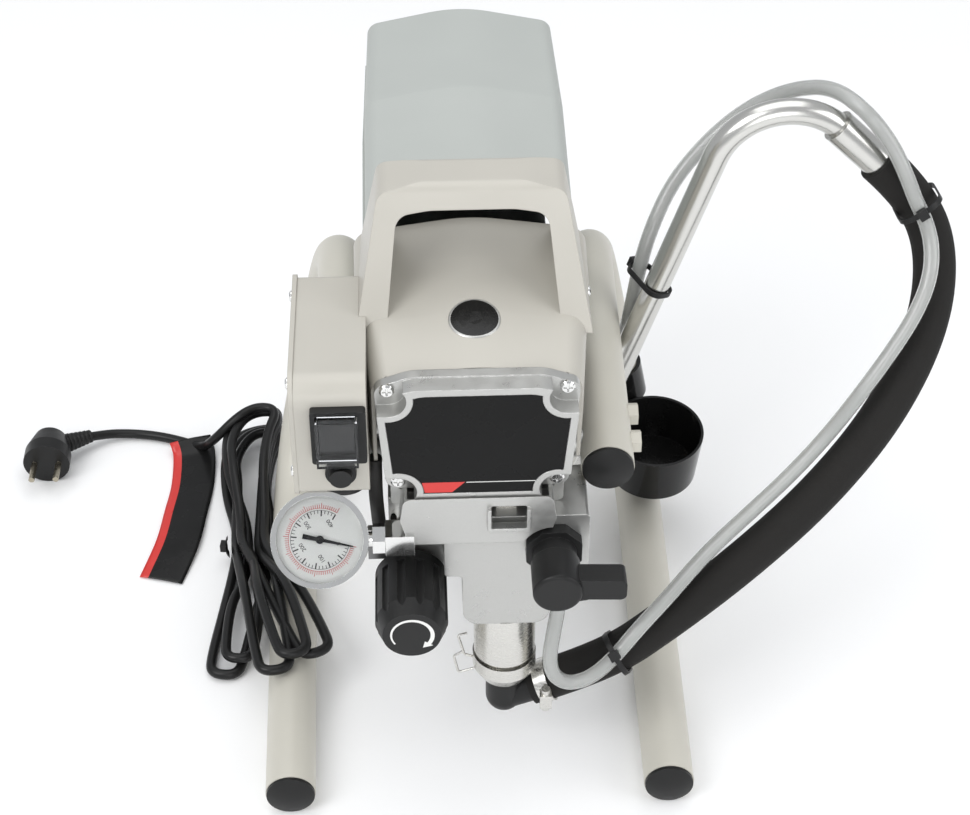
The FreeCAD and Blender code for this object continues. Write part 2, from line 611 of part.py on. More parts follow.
# ---------------------------------------------------------------- controls on the fluid section
def make_knob():
    x, z = KNOB_XZ
    body = along_y(KNOB_XZ, (KNOB_Y[0] + 11, KNOB_Y[1]), KNOB_R)
    cone = Part.makeCone(KNOB_R, 18.5, 11, V(x, KNOB_Y[0] + 11, z), V(0, -1, 0))
    body = joined([body, cone])
    for k in range(12):
        a = math.radians(30 * k + 15)
        flute = (x + (KNOB_R + 1.5) * math.cos(a), z + (KNOB_R + 1.5) * math.sin(a))
        body = body.cut(along_y(flute, (KNOB_Y[0] - 1, KNOB_Y[1] - 7), 3.2))
    keep("pressure_knob", body.cut(along_y(KNOB_XZ, (-170, KNOB_Y[1] + 1), 5 + RUNNING_GAP)))


def make_prime_valve():
    x, z = PRIME_XZ
    reach = 19.0
    base = [(x + reach * math.cos(math.radians(45 * k + 22.5)), z + reach * math.sin(math.radians(45 * k + 22.5)))
            for k in range(8)]
    plate = front_prism(base, 2, (-180, MANIFOLD_FRONT_Y))
    keep("prime_valve_body", joined([plate, along_y(PRIME_XZ, (-190, -179), 14), along_y(PRIME_XZ, (-205, -189), 5)]))

    cap = along_y(PRIME_XZ, (-217, -190.4), 15.5)
    cap = cap.makeFillet(2.5, [e for e in cap.Edges if len(e.Vertexes) == 1 and e.CenterOfMass.y < -210])
    lever = front_prism([(x + 6, z - 8), (x + 43, z - 9.5), (x + 43, z + 6.5), (x + 6, z + 8)], [0, 4, 4, 0],
                        (-213, -198))
    lug = front_prism([(x + 8, z - 22), (x + 21, z - 20), (x + 18, z - 9), (x + 5, z - 10)], 1.5, (-202, -192))
    handle = joined([cap, lever, lug])
    keep("prime_valve_handle", handle.cut(along_y(PRIME_XZ, (-206, -190), 5 + RUNNING_GAP)))


def tilted(shape, place, degrees):
    shape.rotate(V(0, 0, 0), V(1, 0, 0), degrees)
    shape.translate(place)
    return shape


def make_gauge():
    centre = (0, 0)
    bezel = upright(centre, (-9, 0), GAUGE_R).cut(upright(centre, (-6.6, 1), GAUGE_R - 3.5))
    back = upright(centre, (-GAUGE_DEPTH, -8), GAUGE_R - 2)
    dial = upright(centre, (-6.5, -5.3), GAUGE_R - 3.6).cut(upright(centre, (-7, -5), 1.1))
    keep("gauge_dial", tilted(dial, GAUGE_FACE, GAUGE_TILT))
    stem = rod(V(GAUGE_R - 8, 0, -13), V(GAUGE_R + 2, 0, -13), 5)
    case = joined([bezel, back, stem])
    case = tilted(case.cut(upright(centre, (-12, -4), 1.1)), GAUGE_FACE, GAUGE_TILT)
    lens = upright(centre, (-2.4, -0.8), GAUGE_R - 3.5)
    keep("gauge_lens", tilted(lens, GAUGE_FACE, GAUGE_TILT))
    needle = plan_prism([(-11, -1.6), (-11, 1.6), (21, 0.4), (21, -0.4)], 0, (-4.4, -3.7))
    pointer = joined([needle, upright(centre, (-4.6, -3.2), 2.6), upright(centre, (-10, -4.4), 1.0)])
    pointer.rotate(V(0, 0, 0), V(0, 0, 1), -13)
    keep("gauge_pointer", tilted(pointer, GAUGE_FACE, GAUGE_TILT))

    out = V(0, -math.sin(math.radians(GAUGE_TILT)), math.cos(math.radians(GAUGE_TILT)))
    stem_end = GAUGE_FACE - out * 13 + V(GAUGE_R + 2, 0, 0)
    nut = hexagon(stem_end, V(1, 0, 0), 17, 8)
    block = box((-58, -40), (stem_end.y - 8, stem_end.y + 8), (stem_end.z - 8, stem_end.z + 8))
    inward = rod(V(-48, stem_end.y + 7, stem_end.z), V(-48, -152, stem_end.z), 7)
    keep("gauge_case", joined([case, nut, block, inward]))


def make_sensor():
    head = box((-70, -56), (-152, -137), (187, 203))
    keep("pressure_sensor", joined([head, upright((-62, -145), (202, 205), 5.5)]))
    keep("sensor_cable", cord("sensor_cable", SENSOR_ROUTE, SENSOR_CABLE_R))


# ---------------------------------------------------------------- moulded covers
def hood_section(y, half, low, top, drop, corner):
    """Arch-shaped section: upright sides, rounded shoulders and a crowned top."""
    points = [V(-half, y, low), V(-half, y, top - drop), V(0, y, top + drop * 0.25), V(half, y, top - drop),
              V(half, y, low)]
    return rounded_loop(points, [0, corner, half * 1.6, corner, 0])


def hood(sections):
    return Part.makeLoft([hood_section(*s) for s in sections], True, True)


SHROUD = [(-157, 63.5, 276, 347, 7, 12), (-112, 69, 276, 355, 8, 13), (-64, 74, 276, 362, 9, 14),
          (-29, 74.5, 276, 366, 9, 14)]


def make_shroud():
    outer = hood(SHROUD)
    inner_sections = [(y + shift, half - SHELL, low - 2, top - SHELL, drop, corner - 2)
                      for (y, half, low, top, drop, corner), shift in zip(SHROUD, (-1, 0, 0, 1))]
    shell = outer.cut(hood(inner_sections))
    side_view = side_prism([(-114, 338), (-84, 412), (-78, HANDLE_TOP_Z), (-47, HANDLE_TOP_Z), (-43, 408), (-30, 338)],
                           [0, 30, 8, 6, 20, 0], (-80, 80))
    front_view = front_prism([(-73.0, 338), (73.0, 338), (57, HANDLE_TOP_Z - 4), (34, HANDLE_TOP_Z),
                              (-34, HANDLE_TOP_Z), (-57, HANDLE_TOP_Z - 4)], [0, 0, 9, 60, 60, 9], (-120, -20))
    hand_hole = front_prism([(-55, 330), (55, 330), (46, GRIP_UNDER_Z - 3), (26, GRIP_UNDER_Z),
                             (-26, GRIP_UNDER_Z), (-46, GRIP_UNDER_Z - 3)], [0, 0, 10, 50, 50, 10], (-125, -20))
    handle = side_view.common(front_view).cut(hand_hole).cut(hood(inner_sections))
    keep("front_shroud", joined([shell, handle]))
    return hood([(y, half + 0.4, low - 0.4, top + 0.4, drop, corner) for y, half, low, top, drop, corner in SHROUD])


def make_rear_cover():
    upper = [(-27, 66.5, 330, 378, 9, 10), (94, 67.5, 330, 388, 11, 10), (204, 66.0, 330, 385, 11, 10)]
    lower = [(-27, 68.7, 272, 352, 4, 3), (94, 69.7, 272, 358, 4, 3), (198, 68.2, 272, 356, 4, 3)]
    cavity = [(y + shift, half - SHELL, 328, top - SHELL, drop, corner - 2)
              for (y, half, low, top, drop, corner), shift in zip(upper, (-1, 0, -SHELL))]
    keep("rear_cover", hood(upper).cut(hood(cavity)))
    lower_cavity = [(y + shift, half - SHELL, 270, top + 2, drop, corner)
                    for (y, half, low, top, drop, corner), shift in zip(lower, (-1, 0, -SHELL))]
    clearance = [(y, half + 0.2, low - 0.2, top, drop, corner) for y, half, low, top, drop, corner in upper]
    shell = hood(lower).cut(hood(lower_cavity)).cut(hood(clearance))
    shell = shell.cut(box((-90, 90), (-40, 220), (344, 400)))
    for row in range(6):
        z = 280 + 8 * row
        vent = front_prism([(-42, z), (42, z), (42, z + 3.5), (-42, z + 3.5)], 1.6, (190, 206))
        shell = shell.cut(vent)
    keep("lower_motor_shell", shell)


# ---------------------------------------------------------------- control box
def make_control_box(shroud_space):
    y0, y1 = BOX_Y
    z0, z1 = BOX_Z
    outer = side_prism([(y0, z0), (y1, z0), (y1, z1), (y0, z1)], [4, 5, 5, 16], BOX_X)
    inner = side_prism([(y0 + SHELL, z0 + SHELL), (y1 - SHELL, z0 + SHELL), (y1 - SHELL, z1 - SHELL),
                        (y0 + SHELL, z1 - SHELL)], [2, 3, 3, 13.5], (BOX_X[0] - 1, BOX_X[1] - SHELL - 8))
    body = outer.cut(inner).cut(shroud_space)
    body = body.cut(box((-96.5, -70), (y0 - 1, y0 + 4), (300, 334)))
    body = body.cut(along_y((-83, 287), (y0 - 1, y0 + 4), 6.2))
    body = body.cut(along_y((-88, 300), (y1 - 4, y1 + 1), 5.2))
    notch = upright((SENSOR_ROUTE[0].x, SENSOR_ROUTE[0].y), (z0 - 1, SENSOR_ROUTE[0].z), SENSOR_CABLE_R + 0.3)
    keep("control_box", body.cut(notch))

    plate = side_prism([(y0 + 0.5, z0 - 2), (y1 + 2, z0 - 2), (y1 + 2, z1 + 1), (y0 + 0.5, z1 + 1)],
                       [4, 5, 5, 16], (BOX_X[0] - 3, BOX_X[0]))
    keep("side_cover", plate)

    board = box((-99, -97.4), (-166, -76), (276, 342))
    capacitor = rod(V(-97.4, -96, 318), V(-82, -96, 318), 10)
    sink = box((-97.4, -86), (-140, -112), (280, 294))
    keep("circuit_board", joined([board, capacitor, sink]))

    frame = front_prism([(SWITCH_X[0], SWITCH_Z[0]), (SWITCH_X[1], SWITCH_Z[0]), (SWITCH_X[1], SWITCH_Z[1]),
                         (SWITCH_X[0], SWITCH_Z[1])], 2, (y0 - 6, y0))
    back = box((-96.5, -72), (y0 - 1, y0 + 22), (300, 334))
    frame = joined([frame, back])
    frame = frame.cut(box((-95, -73), (y0 - 7, y0 + 9), (301, 333)))
    keep("switch_frame", frame.cut(shroud_space))

    rocker = side_prism([(y0 - 5, 302), (y0 + 4, 302), (y0 + 4, 332), (y0 - 5, 332)], 1.2, (-94.5, -73.5))
    rocker.rotate(V(0, y0 - 1, 317), V(1, 0, 0), 8)
    keep("switch_rocker", rocker)

    flap = box((-96.5, -71.5), (y0 - 13, y0 - 6.3), (299.5, 334.5))
    flap = flap.cut(box((-95.3, -72.7), (y0 - 11.8, y0 - 6), (300.7, 333.3)))
    keep("switch_cover", flap)

    holder = joined([along_y((-83, 287), (y0 - 4, y0), 9.5), along_y((-83, 287), (y0 - 9, y0 - 3), 6.8),
                     along_y((-83, 287), (y0, y0 + 20), 6)])
    keep("fuse_holder", holder)

    gland = Part.makeCone(7, 4.6, 20, V(-88, y1 + 4, 300), V(0, 1, 0))
    gland = joined([along_y((-88, 300), (y1, y1 + 4), 8.5), gland, along_y((-88, 300), (y1 - 9, y1), 5)])
    keep("cord_gland", gland)


def make_screws():
    cover = [pan_screw(V(x, COVER_BACK_Y - 7, z), V(0, -1, 0), 4.6, 2.4, 15) for x, z in cover_screw_places()]
    small = [pan_screw(V(BOX_X[0] - 3, y, z), V(-1, 0, 0), 3.6, 1.6, 6)
             for y, z in ((-164, 276), (-76, 276), (-76, 343), (-158, 340))]
    small += [pan_screw(V(side * 74.6, -50, 322), V(side, 0, 0), 3.6, 1.6, 6) for side in (-1, 1)]
    for name, screws, holed in (("cover_screws", cover, ("front_cover", "drive_housing")),
                                ("case_screws", small, ("side_cover", "control_box", "front_shroud"))):
        keep(name, Part.makeCompound(screws))
        for part in holed:
            for screw in screws:
                keep(part, SOLIDS[part].cut(screw))


# ---------------------------------------------------------------- hoses, pipe and cup
def make_suction():
    foot_axis = (PIPE_CORNER - PIPE_FOOT).normalize()
    start = PIPE_FOOT + foot_axis * 34
    pipe, _, _ = swept([start, PIPE_CORNER, PIPE_END], PIPE_R, [PIPE_BEND_R])
    reach = (PIPE_END - PIPE_CORNER).normalize()
    bore, _, _ = swept([start - foot_axis * 5, PIPE_CORNER, PIPE_END + reach * 4], PIPE_R - PIPE_WALL, [PIPE_BEND_R])
    sleeve_axis = (COUPLING_END - PIPE_END).normalize()
    sleeve = rod(PIPE_END - sleeve_axis * 3, COUPLING_END, SLEEVE_R)
    passage = rod(PIPE_END, COUPLING_END + sleeve_axis * 5, PIPE_R - PIPE_WALL - 0.8)
    keep("suction_pipe", joined([pipe, sleeve]).cut(bore).cut(passage))

    low = PIPE_FOOT - foot_axis * 7
    strainer = rod(low, start, 17).cut(rod(low + foot_axis * 3, start - foot_axis * 3, 15))
    for k in range(10):
        a = math.radians(36 * k)
        turn = FreeCAD.Rotation(V(0, 0, 1), foot_axis)
        out = turn.multVec(V(math.cos(a), math.sin(a), 0))
        for height in (10, 20, 30):
            hole = low + foot_axis * height
            strainer = strainer.cut(rod(hole + out * 12, hole + out * 20, 3))
    keep("inlet_strainer", strainer)

    keep("suction_hose", cord("suction_hose", HOSE_ROUTE, HOSE_R))
    keep("return_tube", cord("return_tube", RETURN_ROUTE, RETURN_R))


def cable_tie(centre, along, aim, half_long, half_short):
    """A flat strap in an oval round two things lying along one line, and its square head."""
    thick, width = 1.3, 3.6
    outer = plan_prism([(-half_long - thick, -half_short - thick), (half_long + thick, -half_short - thick),
                        (half_long + thick, half_short + thick), (-half_long - thick, half_short + thick)],
                       half_short * 0.9, (-width / 2, width / 2))
    inner = plan_prism([(-half_long, -half_short), (half_long, -half_short), (half_long, half_short),
                        (-half_long, half_short)], half_short * 0.8, (-width, width))
    head = box((half_long + 0.4, half_long + 5), (-3.2, 3.2), (-3.4, 3.4))
    tie = joined([outer.cut(inner), head])
    tie.Placement = FreeCAD.Placement(centre, FreeCAD.Rotation(V(aim), V(), V(along), "ZXY"))
    return tie


def nearest(points, target):
    return min(range(1, len(points) - 1), key=lambda k: (points[k] - target).Length)


def tie_round(first, first_r, second, second_r, near):
    """A tie that holds two tubes together at the place nearest to a point."""
    firsts, seconds = first.discretize(600), second.discretize(1200)
    k = nearest(firsts, near)
    along = (firsts[k + 1] - firsts[k - 1]).normalize()
    gap = seconds[nearest(seconds, firsts[k])] - firsts[k]
    gap = gap - along * gap.dot(along)
    apart = gap.Length
    aim = gap.normalize()
    middle = firsts[k] + aim * ((apart + second_r - first_r) / 2)
    return cable_tie(middle, along, aim, (first_r + apart + second_r) / 2 + 0.2, first_r + 0.2)


def make_ties():
    hose, _ = centre_line(HOSE_ROUTE)
    tube, _ = centre_line(RETURN_ROUTE)
    pipe = Part.Wire([Part.LineSegment(PIPE_FOOT, PIPE_CORNER).toShape()])
    keep("cable_ties", Part.makeCompound([
        tie_round(hose, HOSE_R, tube, RETURN_R, V(95, -148, 90)),
        tie_round(hose, HOSE_R, tube, RETURN_R, V(291, -5, 356)),
        tie_round(pipe, PIPE_R, tube, RETURN_R, V(127, 2, 285)),
        cable_tie(V(-166, 40, 16.2), V(0.1, 1, 0), V(-1, 0.1, 0), 19.5, 14.7),
    ]))


def upright_at(height):
    """A point on the centre line of the right rear upright."""
    _, floor_rear, _, _ = frame_corners()
    share = (height - TUBE_R) / (UPPER_Z - TUBE_R)
    return V(floor_rear.x - LEAN * share, REAR_Y, height)


def make_cup():
    outer = Part.makeCone(CUP_BOTTOM_R, CUP_R, CUP_DEPTH, V(0, 0, -CUP_DEPTH))
    hollow = Part.makeCone(CUP_BOTTOM_R - CUP_WALL, CUP_R - CUP_WALL, CUP_DEPTH, V(0, 0, -CUP_DEPTH + 2))
    nub = upright((0, 0), (-CUP_DEPTH - 3, -CUP_DEPTH + 1), 5)
    cup = tilted(outer.fuse(nub), CUP_RIM, CUP_TILT)
    hollow = tilted(hollow, CUP_RIM, CUP_TILT)
    low, high = upright_at(CLIP_Z[0]), upright_at(CLIP_Z[1])
    clip = ring(low, high, TUBE_R + 3.5, TUBE_R + 0.3)
    clip = clip.cut(box((low.x - 40, low.x + 40), (REAR_Y + 9, REAR_Y + 30), (CLIP_Z[0] - 5, CLIP_Z[1] + 5)))
    towards = V(CUP_RIM.x - low.x, CUP_RIM.y - low.y, 0).normalize()
    aside = V(-towards.y, towards.x, 0)
    foot = V(low.x, low.y, 72) + towards * 12
    web = prism([foot + aside * 7, foot - aside * 7, foot - aside * 7 + towards * 22,
                 foot + aside * 7 + towards * 22], 0, V(0, 0, 18))
    keep("drip_cup", joined([cup, clip, web]).cut(hollow).cut(side_frame_core(TUBE_R + 0.3)))


# ---------------------------------------------------------------- mains cord
def make_cord():
    keep("cord_lead", cord("cord_lead", LEAD_ROUTE, CORD_R))
    keep("cord_tail", cord("cord_tail", TAIL_ROUTE, CORD_R))
    outline = [(-196, 150), (-190, 182), (-166, 200), (-136, 198), (-126, 184), (-126, 164), (-142, 120),
               (-148, 66), (-146, 22), (-124, -38), (-108, -82), (-116, -104), (-138, -108), (-160, -84),
               (-178, -84), (-188, -62), (-184, -20), (-184, 40), (-190, 90)]
    hank = plan_prism(outline, [10, 14, 16, 12, 6, 8, 20, 20, 20, 20, 10, 10, 12, 12, 10, 10, 20, 20, 20], (0.2, 47))
    leg = mirrored(side_frame_core(TUBE_R + 0.6))
    inboard = box((-136, -90), (-130, 140), (-1, 35.8))
    high = box((-210, -150), (-130, 210), (31, 60))
    keep("cord_hank", hank.cut(leg).cut(inboard).cut(high))

    middle = V(-335, 140, 18.6)
    front = rod(middle, middle + V(0, 12, 0), 18.4)
    rear = Part.makeCone(18.4, 13, 18, middle + V(0, 12, 0), V(0, 1, 0))
    arm_end = TAIL_ROUTE[-1]
    arm_start = V(-333, 161, 17)
    arm_axis = arm_end - arm_start
    arm = Part.makeCone(8.5, 5.2, arm_axis.Length, arm_start, arm_axis)
    body = joined([front, rear, arm])
    pins = [rod(middle + V(side * 9.5, 1, 0), middle + V(side * 9.5, -19, 0), 2.4) for side in (-1, 1)]
    keep("mains_plug", joined([body] + pins))

    tag = plan_prism([(-236, 168), (-203, 150), (-213, 60), (-234, 12), (-262, 26), (-243, 72)],
                     [1, 1, 60, 1, 1, 60], (0.3, 1.1))
    keep("cord_tag", tag)


RELIEFS = [
    ("control_box", ("front_shroud", "switch_frame", "switch_rocker")),
    ("drive_housing", ("front_shroud",)),
    ("motor_housing", ("front_shroud",)),
    ("front_shroud", ("cover_screws",)),
    ("pump_shield", ("gauge_case",)),
    ("gauge_case", ("gauge_dial",)),
    ("cable_ties", ("cord_hank", "left_frame_tube")),
]


def cut_reliefs():
    """What is fitted round another piece has that piece's shape taken out of it."""
    for name, others in RELIEFS:
        for other in others:
            keep(name, SOLIDS[name].cut(SOLIDS[other]))
    for name in ("control_box", "pump_shield"):
        keep(name, largest(SOLIDS[name]))
    straps = sorted(SOLIDS["cable_ties"].Solids, key=lambda solid: -solid.Volume)
    keep("cable_ties", Part.makeCompound(straps[:TIE_COUNT]))


def main():
    bolts = make_frame()
    make_housing(bolts)
    make_front_cover()
    make_pump_shield()
    pinion = make_gears()
    make_motor(pinion)
    make_plunger()
    make_pump()
    make_manifold()
    make_knob()
    make_prime_valve()
    make_gauge()
    make_sensor()
    shroud_space = make_shroud()
    make_rear_cover()
    make_control_box(shroud_space)
    make_screws()
    make_suction()
    make_ties()
    make_cup()
    make_cord()
    cut_reliefs()
    os.makedirs("parts", exist_ok=True)
    for name, shape in SOLIDS.items():
        placed = shape.copy()
        placed.translate(-ORIGIN)
        placed.exportStep(f"parts/{name}.step")
        state = "ok" if shape.isValid() else "INVALID"
        print(f"{name}: {len(shape.Solids)} solids, {state}, volume {shape.Volume / 1000:.1f} cm3")


main()
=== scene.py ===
import json
import math

import bpy
from mathutils import Matrix, Vector


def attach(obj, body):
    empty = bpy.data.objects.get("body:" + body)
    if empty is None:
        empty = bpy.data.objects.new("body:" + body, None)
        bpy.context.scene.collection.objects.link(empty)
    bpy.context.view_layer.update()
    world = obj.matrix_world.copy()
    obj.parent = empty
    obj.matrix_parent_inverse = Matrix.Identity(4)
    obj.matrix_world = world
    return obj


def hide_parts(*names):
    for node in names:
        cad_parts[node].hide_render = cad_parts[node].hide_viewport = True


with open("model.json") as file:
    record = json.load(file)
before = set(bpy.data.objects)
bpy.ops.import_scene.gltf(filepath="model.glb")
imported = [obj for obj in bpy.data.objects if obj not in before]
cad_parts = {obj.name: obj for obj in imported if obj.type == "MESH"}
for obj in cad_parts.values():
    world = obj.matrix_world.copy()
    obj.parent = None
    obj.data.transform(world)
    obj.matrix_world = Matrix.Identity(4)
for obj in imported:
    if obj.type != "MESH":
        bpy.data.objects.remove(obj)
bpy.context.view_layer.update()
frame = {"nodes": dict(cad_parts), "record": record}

# Places are given in the machine's own millimetres: X from its mid-plane, Y from front to rear, Z from the
# floor.
ORIGIN_MM = Vector((60.18, -7.0, 0.0))


def row(x, y, z):
    return (Vector((x, y, z)) - ORIGIN_MM) / 1000


# ---------------------------------------------------------------- camera, lights and floor
def make_camera():
    data = bpy.data.cameras.new("camera")
    data.lens = 77.2
    data.sensor_width = 36
    data.clip_end = 20
    camera = bpy.data.objects.new("camera", data)
    camera.location = row(-32, -1117, 1125.6)
    camera.rotation_euler = (math.radians(49.9), 0, math.radians(-2.2))
    bpy.context.scene.collection.objects.link(camera)
    bpy.context.scene.camera = camera


def area_light(name, place, aim, size, watts):
    data = bpy.data.lights.new(name, "AREA")
    data.energy = watts
    data.size = size
    lamp = bpy.data.objects.new(name, data)
    lamp.location = place
    lamp.rotation_euler = (Vector(aim) - Vector(place)).to_track_quat("-Z", "Y").to_euler()
    bpy.context.scene.collection.objects.link(lamp)


def make_light():
    area_light("key", place=(-1.6, -1.3, 2.2), aim=(0, 0, 0.2), size=1.6, watts=35)
    area_light("fill", place=(1.9, -0.9, 1.4), aim=(0, 0, 0.2), size=1.4, watts=15)
    area_light("top", place=(0.0, 0.5, 2.6), aim=(0, 0, 0.2), size=2.2, watts=22)
    area_light("front_strip", place=(0.1, -2.0, 0.9), aim=(0, 0, 0.25), size=1.0, watts=8)
    world = bpy.data.worlds.new("studio")
    world.use_nodes = True
    world.node_tree.nodes["Background"].inputs["Color"].default_value = (0.95, 0.97, 1.0, 1)
    world.node_tree.nodes["Background"].inputs["Strength"].default_value = 0.6
    bpy.context.scene.world = world
    bpy.context.scene.view_settings.view_transform = "Standard"


# ---------------------------------------------------------------- materials
def node(tree, kind, inputs=None, **settings):
    made = tree.nodes.new("ShaderNode" + kind)
    for key, value in settings.items():
        setattr(made, key, value)
    for key, value in (inputs or {}).items():
        if isinstance(value, bpy.types.NodeSocket):
            tree.links.new(value, made.inputs[key])
        else:
            made.inputs[key].default_value = value
    return made


def mixed(tree, share, first, second):
    return node(tree, "Mix", {0: share, 6: first, 7: second}, data_type="RGBA").outputs[2]


def ranged(tree, value, low, high, to_low, to_high):
    return node(tree, "MapRange", {"Value": value, "From Min": low, "From Max": high,
                                   "To Min": to_low, "To Max": to_high}).outputs[0]


def noise(tree, place, size_mm, detail=3.0):
    return node(tree, "TexNoise", {"Vector": place, "Scale": 1000 / size_mm, "Detail": detail}).outputs["Fac"]


def shade(colour, factor):
    return (*(min(1.0, c * factor) for c in colour), 1)


def surface(name, colour, rough, metal=0.0, mottle=0.05, mottle_mm=16, grain_mm=0.6, bump=0.15,
            relief_mm=0.05, rough_spread=0.08, edge_mm=0.0, wear=None, stretch=None, fixed=None):
    """A finish with broad colour changes, fine grain in the relief, uneven gloss and softened, worn edges."""
    material = bpy.data.materials.new(name)
    material.use_nodes = True
    tree = material.node_tree
    tree.nodes.clear()
    place = node(tree, "TexCoord").outputs["Object"]
    if stretch:
        place = node(tree, "Mapping", {"Vector": place, "Scale": stretch}).outputs[0]
    broad = noise(tree, place, mottle_mm, 5.0)
    fine = noise(tree, place, grain_mm)
    base = mixed(tree, broad, shade(colour, 1 - mottle), shade(colour, 1 + mottle))
    base = mixed(tree, ranged(tree, fine, 0.35, 0.75, 0.0, 0.35), base, shade(colour, 1 - 1.6 * mottle))
    gloss = ranged(tree, broad, 0.3, 0.7, max(rough - rough_spread, 0.03), min(rough + rough_spread, 1.0))
    relief = {"Height": fine, "Strength": bump, "Distance": relief_mm / 1000}
    if edge_mm:
        soft = node(tree, "Bevel", {"Radius": edge_mm / 1000}, samples=4).outputs[0]
        relief["Normal"] = soft
        if wear:
            true = node(tree, "NewGeometry").outputs["Normal"]
            apart = node(tree, "VectorMath", {0: soft, 1: true}, operation="DOT_PRODUCT").outputs["Value"]
            edge = ranged(tree, apart, 0.97, 0.85, 0.0, 1.0)
            patchy = ranged(tree, noise(tree, place, 4.0), 0.45, 0.6, 0.0, 0.8)
            worn = node(tree, "Math", {0: edge, 1: patchy}, operation="MULTIPLY").outputs[0]
            base = mixed(tree, worn, base, (*wear, 1))
    shader = node(tree, "BsdfPrincipled", {"Base Color": base, "Roughness": gloss, "Metallic": metal,
                                           "Normal": node(tree, "Bump", relief).outputs[0]})
    for socket, value in (fixed or {}).items():
        shader.inputs[socket].default_value = value
    out = node(tree, "OutputMaterial")
    tree.links.new(shader.outputs[0], out.inputs[0])
    return material


BLACK = (0.012, 0.012, 0.012)
MATT = {"Specular IOR Level": 0.28}
FINISHES = {
    "frame_paint": surface("frame_paint", (0.58, 0.56, 0.495), rough=0.42, metal=0.05, mottle=0.04,
                           mottle_mm=30, grain_mm=0.5, bump=0.22, relief_mm=0.04, edge_mm=0.5,
                           wear=(0.36, 0.35, 0.32)),
    "shroud_paint": surface("shroud_paint", (0.47, 0.452, 0.405), rough=0.40, metal=0.05, mottle=0.03,
                            mottle_mm=40, grain_mm=0.5, bump=0.2, relief_mm=0.03, edge_mm=0.7,
                            wear=(0.45, 0.43, 0.38)),
    "rear_grey": surface("rear_grey", (0.41, 0.43, 0.41), rough=0.48, mottle=0.03, mottle_mm=35,
                         grain_mm=0.7, bump=0.25, relief_mm=0.04, edge_mm=0.8),
    "cast_silver": surface("cast_silver", (0.50, 0.50, 0.485), rough=0.34, metal=0.8, mottle=0.06,
                           mottle_mm=9, grain_mm=0.9, bump=0.35, relief_mm=0.08, edge_mm=0.8,
                           wear=(0.82, 0.82, 0.80)),
    "bright_steel": surface("bright_steel", (0.66, 0.65, 0.62), rough=0.26, metal=1.0, mottle=0.08,
                            mottle_mm=6, grain_mm=0.4, bump=0.25, relief_mm=0.03, edge_mm=0.25,
                            stretch=(1, 1, 9)),
    "pipe_steel": surface("pipe_steel", (0.62, 0.615, 0.59), rough=0.24, metal=1.0, mottle=0.02,
                          mottle_mm=60, grain_mm=0.5, bump=0.05, relief_mm=0.01, rough_spread=0.03,
                          edge_mm=0.25),
    "chrome": surface("chrome", (0.74, 0.74, 0.73), rough=0.10, metal=1.0, mottle=0.04, mottle_mm=12,
                      grain_mm=0.8, bump=0.06, relief_mm=0.01, rough_spread=0.04, edge_mm=0.3),
    "dark_steel": surface("dark_steel", (0.22, 0.22, 0.22), rough=0.38, metal=0.9, mottle=0.15, mottle_mm=8,
                          grain_mm=0.5, bump=0.3, relief_mm=0.04, edge_mm=0.3),
    "black_plastic": surface("black_plastic", BLACK, rough=0.42, mottle=0.2, mottle_mm=12, grain_mm=0.45,
                             bump=0.35, edge_mm=0.5, wear=(0.07, 0.07, 0.07), fixed=MATT),
    "black_gloss": surface("black_gloss", (0.010, 0.010, 0.010), rough=0.16, mottle=0.15, mottle_mm=25,
                           grain_mm=1.5, bump=0.05, relief_mm=0.02, edge_mm=0.4, fixed=MATT),
    "black_rubber": surface("black_rubber", (0.022, 0.021, 0.020), rough=0.55, mottle=0.3, mottle_mm=18,
                            grain_mm=0.8, bump=0.4, relief_mm=0.08, fixed=MATT),
    "clear_tube": surface("clear_tube", (0.80, 0.81, 0.79), rough=0.18, mottle=0.04, mottle_mm=30,
                          grain_mm=3.0, bump=0.05, relief_mm=0.03, rough_spread=0.05,
                          fixed={"Transmission Weight": 0.7, "IOR": 1.42, "Coat Weight": 0.3}),
    "clear_cover": surface("clear_cover", (0.93, 0.94, 0.95), rough=0.05, mottle=0.02, mottle_mm=20,
                           grain_mm=6.0, bump=0.02, relief_mm=0.01, rough_spread=0.03,
                           fixed={"Transmission Weight": 1.0, "IOR": 1.3}),
    "dial_white": surface("dial_white", (0.82, 0.82, 0.78), rough=0.5, mottle=0.02, mottle_mm=10, bump=0.05,
                          relief_mm=0.01),
    "label_black": surface("label_black", (0.009, 0.009, 0.009), rough=0.28, mottle=0.2, mottle_mm=20,
                           grain_mm=1.0, bump=0.05, relief_mm=0.01, edge_mm=0.3,
                           fixed={"Specular IOR Level": 0.12}),
    "tag_paper": surface("tag_paper", (0.012, 0.012, 0.012), rough=0.25, mottle=0.2, mottle_mm=20,
                         grain_mm=0.8, bump=0.08, relief_mm=0.02, fixed={"Specular IOR Level": 0.2}),
    "copper": surface("copper", (0.62, 0.34, 0.20), rough=0.35, metal=0.9, mottle=0.2, mottle_mm=5,
                      grain_mm=0.5, bump=0.4, relief_mm=0.1),
    "board_green": surface("board_green", (0.03, 0.18, 0.08), rough=0.45, mottle=0.2, mottle_mm=6,
                           grain_mm=0.8, bump=0.2),
    "seal_white": surface("seal_white", (0.78, 0.76, 0.70), rough=0.5, mottle_mm=6, grain_mm=0.8, bump=0.1,
                          relief_mm=0.03),
}
FOAM = surface("hose_foam", (0.014, 0.013, 0.012), rough=0.78, mottle=0.35, mottle_mm=12, grain_mm=0.7,
               bump=0.8, relief_mm=0.20, rough_spread=0.06, fixed=MATT)
CORD_JACKET = surface("cord_jacket", (0.010, 0.010, 0.010), rough=0.34, mottle=0.2, mottle_mm=25,
                      grain_mm=0.8, relief_mm=0.03, fixed=MATT)
